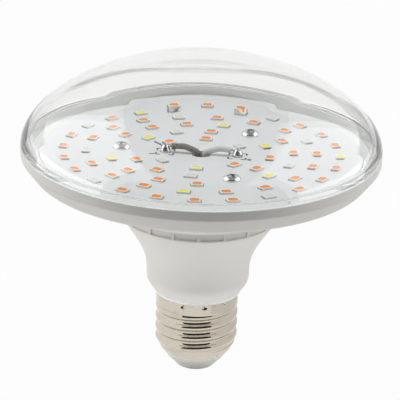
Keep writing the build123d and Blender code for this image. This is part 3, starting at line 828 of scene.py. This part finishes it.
def make_placing_tree():
    """Puts a pattern piece on every place, turned along its ring, and gives it its finish."""
    tree, given, out = new_group(
        "placed_on_rings",
        "GeometryNodeTree",
        [("Geometry", "NodeSocketGeometry"), ("Pattern", "NodeSocketObject"), ("Seat height", FLOAT),
         ("Finish", "NodeSocketMaterial")],
        [("Geometry", "NodeSocketGeometry")],
    )
    tree.is_modifier = True
    up = put(tree, "ShaderNodeCombineXYZ", Z=maths(tree, "MULTIPLY", given["Seat height"], MM))
    seats = put(tree, "GeometryNodeSetPosition", Geometry=given["Geometry"], Offset=up.outputs[0])
    turn = put(tree, "GeometryNodeInputNamedAttribute", {"data_type": "FLOAT"}, Name="turn")
    about = put(tree, "ShaderNodeCombineXYZ", Z=turn.outputs["Attribute"])
    turned_by = put(tree, "FunctionNodeEulerToRotation", Euler=about.outputs[0])
    pattern = put(tree, "GeometryNodeObjectInfo", Object=given["Pattern"])
    placed = put(
        tree, "GeometryNodeInstanceOnPoints", Points=seats.outputs[0], Instance=pattern.outputs["Geometry"],
        Rotation=turned_by.outputs[0],
    )
    whole = put(tree, "GeometryNodeRealizeInstances", Geometry=placed.outputs[0])
    dressed = put(tree, "GeometryNodeSetMaterial", Geometry=whole.outputs[0], Material=given["Finish"])
    feed(tree, out["Geometry"], dressed.outputs[0])
    return tree


PLACING = make_placing_tree()


def place_on_rings(name, pattern, centres, finish):
    """Copies a pattern piece to each place, with its long side along the ring."""
    mesh = bpy.data.meshes.new(name)
    mesh.from_pydata([(c.x * MM, c.y * MM, 0.0) for c in centres], [], [])
    turns = mesh.attributes.new("turn", "FLOAT", "POINT")
    turns.data.foreach_set("value", [math.atan2(c.y, c.x) + math.pi / 2 for c in centres])
    piece = bpy.data.objects.new(name, mesh)
    bpy.context.scene.collection.objects.link(piece)
    dress_with(piece, PLACING, {"Pattern": pattern, "Seat height": BOARD_TOP, "Finish": finish})
    return plain_mesh(piece)


def make_leds():
    """The bodies, the tabs and the three kinds of window, each placed where its CAD node has one."""
    body, window, tabs = make_led_body(), make_emitter(), make_tabs()
    every = island_centres("led_bodies")
    stand_for(place_on_rings("led_packages", body, every, LED_WHITE), "led_body", "led_bodies")
    stand_for(place_on_rings("led_tabs", tabs, every, LED_TAB), "tinned", "led_terminals")
    for kind, finish, slot in WINDOW_KINDS:
        centres = island_centres(f"{kind}_emitters")
        stand_for(place_on_rings(f"{kind}_windows", window, centres, finish), slot, f"{kind}_emitters")
    for pattern in (body, window, tabs):
        bpy.data.objects.remove(pattern)


make_leds()


# Print round the pads on the board, by the two solder joints
INK_THICKNESS = 0.03
STROKE = 0.5
MARK_LENGTH = 1.6
BRACKET_SPAN = 5.4
BRACKET_LENGTH = 1.5
MARK_REACH = 3.9


def add_bar(points, faces, centre, along, length, width):
    """A flat bar of print on the board."""
    along = Vector(along).normalized()
    across = Vector((-along.y, along.x))
    first = len(points)
    for height in (BOARD_TOP, BOARD_TOP + INK_THICKNESS):
        for long_way, wide_way in ((-1, -1), (1, -1), (1, 1), (-1, 1)):
            spot = Vector(centre) + along * (long_way * length / 2) + across * (wide_way * width / 2)
            points.append((spot.x, spot.y, height))
    faces.append((first + 3, first + 2, first + 1, first))
    faces.append((first + 4, first + 5, first + 6, first + 7))
    for step in range(4):
        after = (step + 1) % 4
        faces.append((first + step, first + after, first + 4 + after, first + 4 + step))


def make_print():
    """Corner brackets round each pad, and plain polarity marks."""
    points, faces = [], []
    half = BRACKET_SPAN / 2
    inset = BRACKET_LENGTH / 2
    for centre in island_centres("solder_joints"):
        middle = Vector((centre.x, centre.y))
        out = middle.normalized()
        side = Vector((-out.y, out.x))
        for out_way in (-1, 1):
            for side_way in (-1, 1):
                corner = middle + out * (out_way * half) + side * (side_way * half)
                add_bar(points, faces, corner - out * (out_way * inset), out, BRACKET_LENGTH, STROKE)
                add_bar(points, faces, corner - side * (side_way * inset), side, BRACKET_LENGTH, STROKE)
        positive = centre.x > 0
        mark = middle + out * MARK_REACH - side * (half if positive else -half)
        add_bar(points, faces, mark, (1, 0), MARK_LENGTH, STROKE)
        if positive:
            add_bar(points, faces, mark, (0, 1), MARK_LENGTH, STROKE)
    return new_piece("pad_print", points, faces, INK)


stand_for(make_print(), "moulding")


# Stage: a pale floor, soft lights, cards that show only in reflections, and the camera
FLOOR_DROP = 0.2
FLOOR_REACH = 6000.0
FLOOR_COLOUR = (0.33, 0.33, 0.33, 1.0)
FLOOR_ROUGHNESS = 0.9
FLOOR_WHITE = 0.97
WORLD_FILL = 0.08
WHITE = (1.0, 1.0, 1.0, 1.0)
BLACK = (0.0, 0.0, 0.0, 1.0)

# Lights beside the lamp: a wall on each side, and a strip at its foot
LIGHT_REACH = 450.0
LIGHT_FRONT = -270.0
LIGHT_BACK = 520.0
LIGHT_TOP = 1000.0
LEFT_RADIANCE = 1.05
RIGHT_RADIANCE = 0.9
STRIP_REACH = 440.0
STRIP_BACK = 200.0
STRIP_TOP = 105.0
LEFT_STRIP_RADIANCE = 3.0
RIGHT_STRIP_RADIANCE = 2.5

# Fills that reflections leave out
TOP_LIGHT_HEIGHT = 1400.0
TOP_LIGHT_SIDE = 900.0
TOP_RADIANCE = 5.2
FRONT_LIGHT_PLACE = (0.0, -780.0, 990.0)
FRONT_LIGHT_SIDE = 600.0
FRONT_RADIANCE = 0.8
LOW_LIGHT_FRONT = -85.0
LOW_LIGHT_BACK = -20.0
LOW_LIGHT_WIDTH = 140.0
LOW_RADIANCE = 1.4

# Cards in front, on the table in front, and overhead
FLAG_FRONT = -1000.0
FLAG_LEFT = -1280.0
FLAG_RIGHT = 1380.0
FLAG_TOP = 1300.0
FLAG_GLOW = 0.02
FRONT_CARD_REACH = 90.0
FRONT_CARD_BACK = -95.0
FRONT_CARD_LIFT = 0.6
CANOPY_LEFT = -600.0
CANOPY_RIGHT = 680.0
CANOPY_BACK = 1080.0
CANOPY_GLOW = 0.25

# Cards on the table at both sides, upright ones by the cap, and low wings at both sides of the back
CARD_LIFT = 0.3
CARD_INNER = 52.0
CARD_OUTER = 435.0
CARD_FRONT = -300.0
CARD_BACK = 180.0
CARD_GLOW = 0.75
LOW_CARD_REACH = 36.0
LOW_CARD_FRONT = -48.0
LOW_CARD_BACK = 80.0
LOW_CARD_TOP = 58.0
WING_TURNS = (24.0, 42.0, 62.0)
WING_FOOT = -3.0
WING_TOP = 13.0
# Each side with its way along X and the glow of its upright card and its wing
SIDES = [("left", -1, 0.98, 0.98), ("right", 1, 0.78, 0.55)]

# The grey arch behind the lamp, as the turn from straight back and the slope up to its lower and upper edge
ARCH_CENTRE = Vector((0.0, 0.0, 95.0))
ARCH_REACH = 400.0
ARCH_GLOW = 0.2
ARCH = [
    (-29, 0, 8), (-24, 5, 13), (-20, 9, 17), (-16.5, 15, 22), (-13, 21, 27), (-8, 27, 32), (0, 29, 34),
    (8, 26.5, 31.5), (13, 20, 26.5), (17.5, 15, 22), (21.5, 9, 17), (26, 6, 14), (31, 0, 9),
]

# Camera: the target is the middle of the lamp just below the rim, and it lands on its pixel
TARGET_DROP = 3.7
TARGET = Vector((0.0, 0.0, RIM_TOP - TARGET_DROP))
CAMERA_DISTANCE = 600.0
CAMERA_ELEVATION = 20.5
CAMERA_LENS = 174.4
CAMERA_ROLL = 0.03
CAMERA_NEAR = 0.01
CAMERA_FAR = 50.0
SENSOR_WIDTH = 36.0
IMAGE_SIZE = 400
TARGET_PIXEL = (199.9, 155.3)
FOCAL_PIXELS = CAMERA_LENS / SENSOR_WIDTH * IMAGE_SIZE


def white_to_view(tree, shaded, share):
    """White where the camera, gloss or clear plastic sees it, mixed with its own shaded look."""
    path = tree.nodes.new("ShaderNodeLightPath").outputs
    seen = maths(tree, "MAXIMUM", path["Is Camera Ray"], path["Is Glossy Ray"])
    seen = maths(tree, "MAXIMUM", seen, path["Is Transmission Ray"])
    white = put(tree, "ShaderNodeEmission", Color=WHITE, Strength=1.0)
    split = put(tree, "ShaderNodeMixShader", Fac=maths(tree, "MULTIPLY", seen, share))
    feed(tree, split.inputs[1], shaded)
    feed(tree, split.inputs[2], white.outputs[0])
    return split.outputs[0]


def make_floor():
    """A pale floor that looks white but keeps a little of the lamp's shadow."""
    material, shader = new_material("pale_floor")
    tree = material.node_tree
    shader.inputs["Base Color"].default_value = FLOOR_COLOUR
    shader.inputs["Roughness"].default_value = FLOOR_ROUGHNESS
    look = white_to_view(tree, shader.outputs[0], FLOOR_WHITE)
    feed(tree, tree.nodes["Material Output"].inputs["Surface"], look)
    ways = [(-1, -1), (1, -1), (1, 1), (-1, 1)]
    corners = [(x * FLOOR_REACH, y * FLOOR_REACH, -FLOOR_DROP) for x, y in ways]
    new_piece("floor", corners, [(0, 1, 2, 3)], material)


def make_soft_light(name, centre, across, up, width, height, radiance, in_gloss):
    """A soft rectangle of light. It shines away from the cross product of its two sides."""
    light = bpy.data.lights.new(name, "AREA")
    light.shape = "RECTANGLE"
    light.size = width * MM
    light.size_y = height * MM
    light.energy = radiance * math.pi * light.size * light.size_y
    across, up = Vector(across), Vector(up)
    source = bpy.data.objects.new(name, light)
    facing = Matrix((across, up, across.cross(up))).transposed().to_4x4()
    source.matrix_world = Matrix.Translation(Vector(centre) * MM) @ facing
    source.visible_camera = False
    source.visible_glossy = in_gloss
    source.visible_transmission = in_gloss
    bpy.context.scene.collection.objects.link(source)


def make_side_light(name, way, reach, back, top, radiance):
    """An upright light beside the lamp, from the floor up, which shows in reflections."""
    place = (way * reach, (LIGHT_FRONT + back) / 2, top / 2)
    make_soft_light(name, place, (0, way, 0), (0, 0, 1), back - LIGHT_FRONT, top, radiance, in_gloss=True)


def make_lights():
    """A light wall on each side, a brighter strip at its foot, a soft top light, and two fills in front."""
    make_side_light("left_wall", -1, LIGHT_REACH, LIGHT_BACK, LIGHT_TOP, LEFT_RADIANCE)
    make_side_light("right_wall", 1, LIGHT_REACH, LIGHT_BACK, LIGHT_TOP, RIGHT_RADIANCE)
    make_side_light("left_strip", -1, STRIP_REACH, STRIP_BACK, STRIP_TOP, LEFT_STRIP_RADIANCE)
    make_side_light("right_strip", 1, STRIP_REACH, STRIP_BACK, STRIP_TOP, RIGHT_STRIP_RADIANCE)
    make_soft_light(
        "top_light", (0, 0, TOP_LIGHT_HEIGHT), (1, 0, 0), (0, 1, 0), TOP_LIGHT_SIDE, TOP_LIGHT_SIDE,
        TOP_RADIANCE, in_gloss=False,
    )
    slope = Vector(FRONT_LIGHT_PLACE).normalized()
    make_soft_light(
        "front_light", FRONT_LIGHT_PLACE, (1, 0, 0), slope.cross((1, 0, 0)), FRONT_LIGHT_SIDE,
        FRONT_LIGHT_SIDE, FRONT_RADIANCE, in_gloss=False,
    )
    make_soft_light(
        "low_fill", (0, (LOW_LIGHT_FRONT + LOW_LIGHT_BACK) / 2, 0), (1, 0, 0), (0, -1, 0), LOW_LIGHT_WIDTH,
        LOW_LIGHT_BACK - LOW_LIGHT_FRONT, LOW_RADIANCE, in_gloss=False,
    )


def make_card(name, lower, upper, glow):
    """A card between two edges of points, which shows only in reflections. It is as bright as its glow."""
    material, shader = new_material(f"{name}_cloth")
    shader.inputs["Base Color"].default_value = BLACK
    shader.inputs["Emission Color"].default_value = WHITE
    shader.inputs["Emission Strength"].default_value = glow
    shader.inputs["Roughness"].default_value = 1.0
    count = len(lower)
    faces = [(step, step + 1, count + step + 1, count + step) for step in range(count - 1)]
    card = new_piece(name, lower + upper, faces, material)
    card.visible_camera = False
    card.visible_diffuse = False
    card.visible_shadow = False


def cross_edge(left, right, y, height):
    """A straight edge of a card, from left to right."""
    return [(left, y, height), (right, y, height)]


def arch_point(turn, slope):
    """A point round the arch's centre, from its two angles in degrees."""
    turn, slope = math.radians(turn), math.radians(slope)
    level = math.cos(slope)
    facing = Vector((level * math.sin(turn), level * math.cos(turn), math.sin(slope)))
    return ARCH_CENTRE + ARCH_REACH * facing


def make_front_cards():
    """The dark flag in front, the dark card on the table before it, and the grey canopy overhead."""
    make_card(
        "front_flag",
        cross_edge(FLAG_LEFT, FLAG_RIGHT, FLAG_FRONT, 0.0),
        cross_edge(FLAG_LEFT, FLAG_RIGHT, FLAG_FRONT, FLAG_TOP),
        FLAG_GLOW,
    )
    make_card(
        "front_table_card",
        cross_edge(-FRONT_CARD_REACH, FRONT_CARD_REACH, FRONT_CARD_BACK, FRONT_CARD_LIFT),
        cross_edge(FLAG_LEFT, FLAG_RIGHT, FLAG_FRONT, FRONT_CARD_LIFT),
        FLAG_GLOW,
    )
    make_card(
        "canopy_flag",
        cross_edge(CANOPY_LEFT, CANOPY_RIGHT, FLAG_FRONT, FLAG_TOP),
        cross_edge(CANOPY_LEFT, CANOPY_RIGHT, CANOPY_BACK, FLAG_TOP),
        CANOPY_GLOW,
    )


def make_side_cards(name, way, low_glow, wing_glow):
    """One side's card on the table, upright card by the cap, and wing towards the back."""
    make_card(
        f"{name}_table_card",
        cross_edge(way * CARD_INNER, way * CARD_OUTER, CARD_FRONT, CARD_LIFT),
        cross_edge(way * CARD_INNER, way * CARD_OUTER, CARD_BACK, CARD_LIFT),
        CARD_GLOW,
    )
    beside = way * LOW_CARD_REACH
    make_card(
        f"{name}_low_card",
        [(beside, LOW_CARD_FRONT, CARD_LIFT), (beside, LOW_CARD_BACK, CARD_LIFT)],
        [(beside, LOW_CARD_FRONT, LOW_CARD_TOP), (beside, LOW_CARD_BACK, LOW_CARD_TOP)],
        low_glow,
    )
    make_card(
        f"{name}_wing_card",
        [arch_point(way * turn, WING_FOOT) for turn in WING_TURNS],
        [arch_point(way * turn, WING_TOP) for turn in WING_TURNS],
        wing_glow,
    )


def make_cards():
    """All the cards: in front, at both sides, and the arch behind."""
    make_front_cards()
    for name, way, low_glow, wing_glow in SIDES:
        make_side_cards(name, way, low_glow, wing_glow)
    make_card(
        "back_arch",
        [arch_point(turn, low) for turn, low, high in ARCH],
        [arch_point(turn, high) for turn, low, high in ARCH],
        ARCH_GLOW,
    )


def make_world():
    """A faint even fill, which looks white to the camera and in reflections."""
    world = bpy.data.worlds.new("studio")
    world.use_nodes = True
    tree = world.node_tree
    fill = tree.nodes["Background"]
    fill.inputs["Color"].default_value = WHITE
    fill.inputs["Strength"].default_value = WORLD_FILL
    feed(tree, tree.nodes["World Output"].inputs["Surface"], white_to_view(tree, fill.outputs[0], 1.0))
    bpy.context.scene.world = world


def make_camera():
    """The photograph's view: the target lands on its pixel, and the view is turned by a small roll."""
    elevation = math.radians(CAMERA_ELEVATION)
    back = Vector((0.0, -math.cos(elevation), math.sin(elevation)))
    camera = bpy.data.objects.new("camera", bpy.data.cameras.new("camera"))
    camera.data.lens = CAMERA_LENS
    camera.data.sensor_width = SENSOR_WIDTH
    camera.data.clip_start = CAMERA_NEAR
    camera.data.clip_end = CAMERA_FAR
    tilt = math.atan((IMAGE_SIZE / 2 - TARGET_PIXEL[1]) / FOCAL_PIXELS)
    turn = math.atan((IMAGE_SIZE / 2 - TARGET_PIXEL[0]) / FOCAL_PIXELS)
    aim = (-back).to_track_quat("-Z", "Y").to_matrix().to_4x4()
    aim = aim @ Matrix.Rotation(-turn, 4, "Y") @ Matrix.Rotation(-tilt, 4, "X")
    aim = aim @ Matrix.Rotation(CAMERA_ROLL, 4, "Z")
    camera.matrix_world = Matrix.Translation((TARGET + back * CAMERA_DISTANCE) * MM) @ aim
    bpy.context.scene.collection.objects.link(camera)
    bpy.context.scene.camera = camera


make_floor()
make_lights()
make_cards()
make_world()
make_camera()
bpy.context.scene.view_settings.view_transform = "Standard"
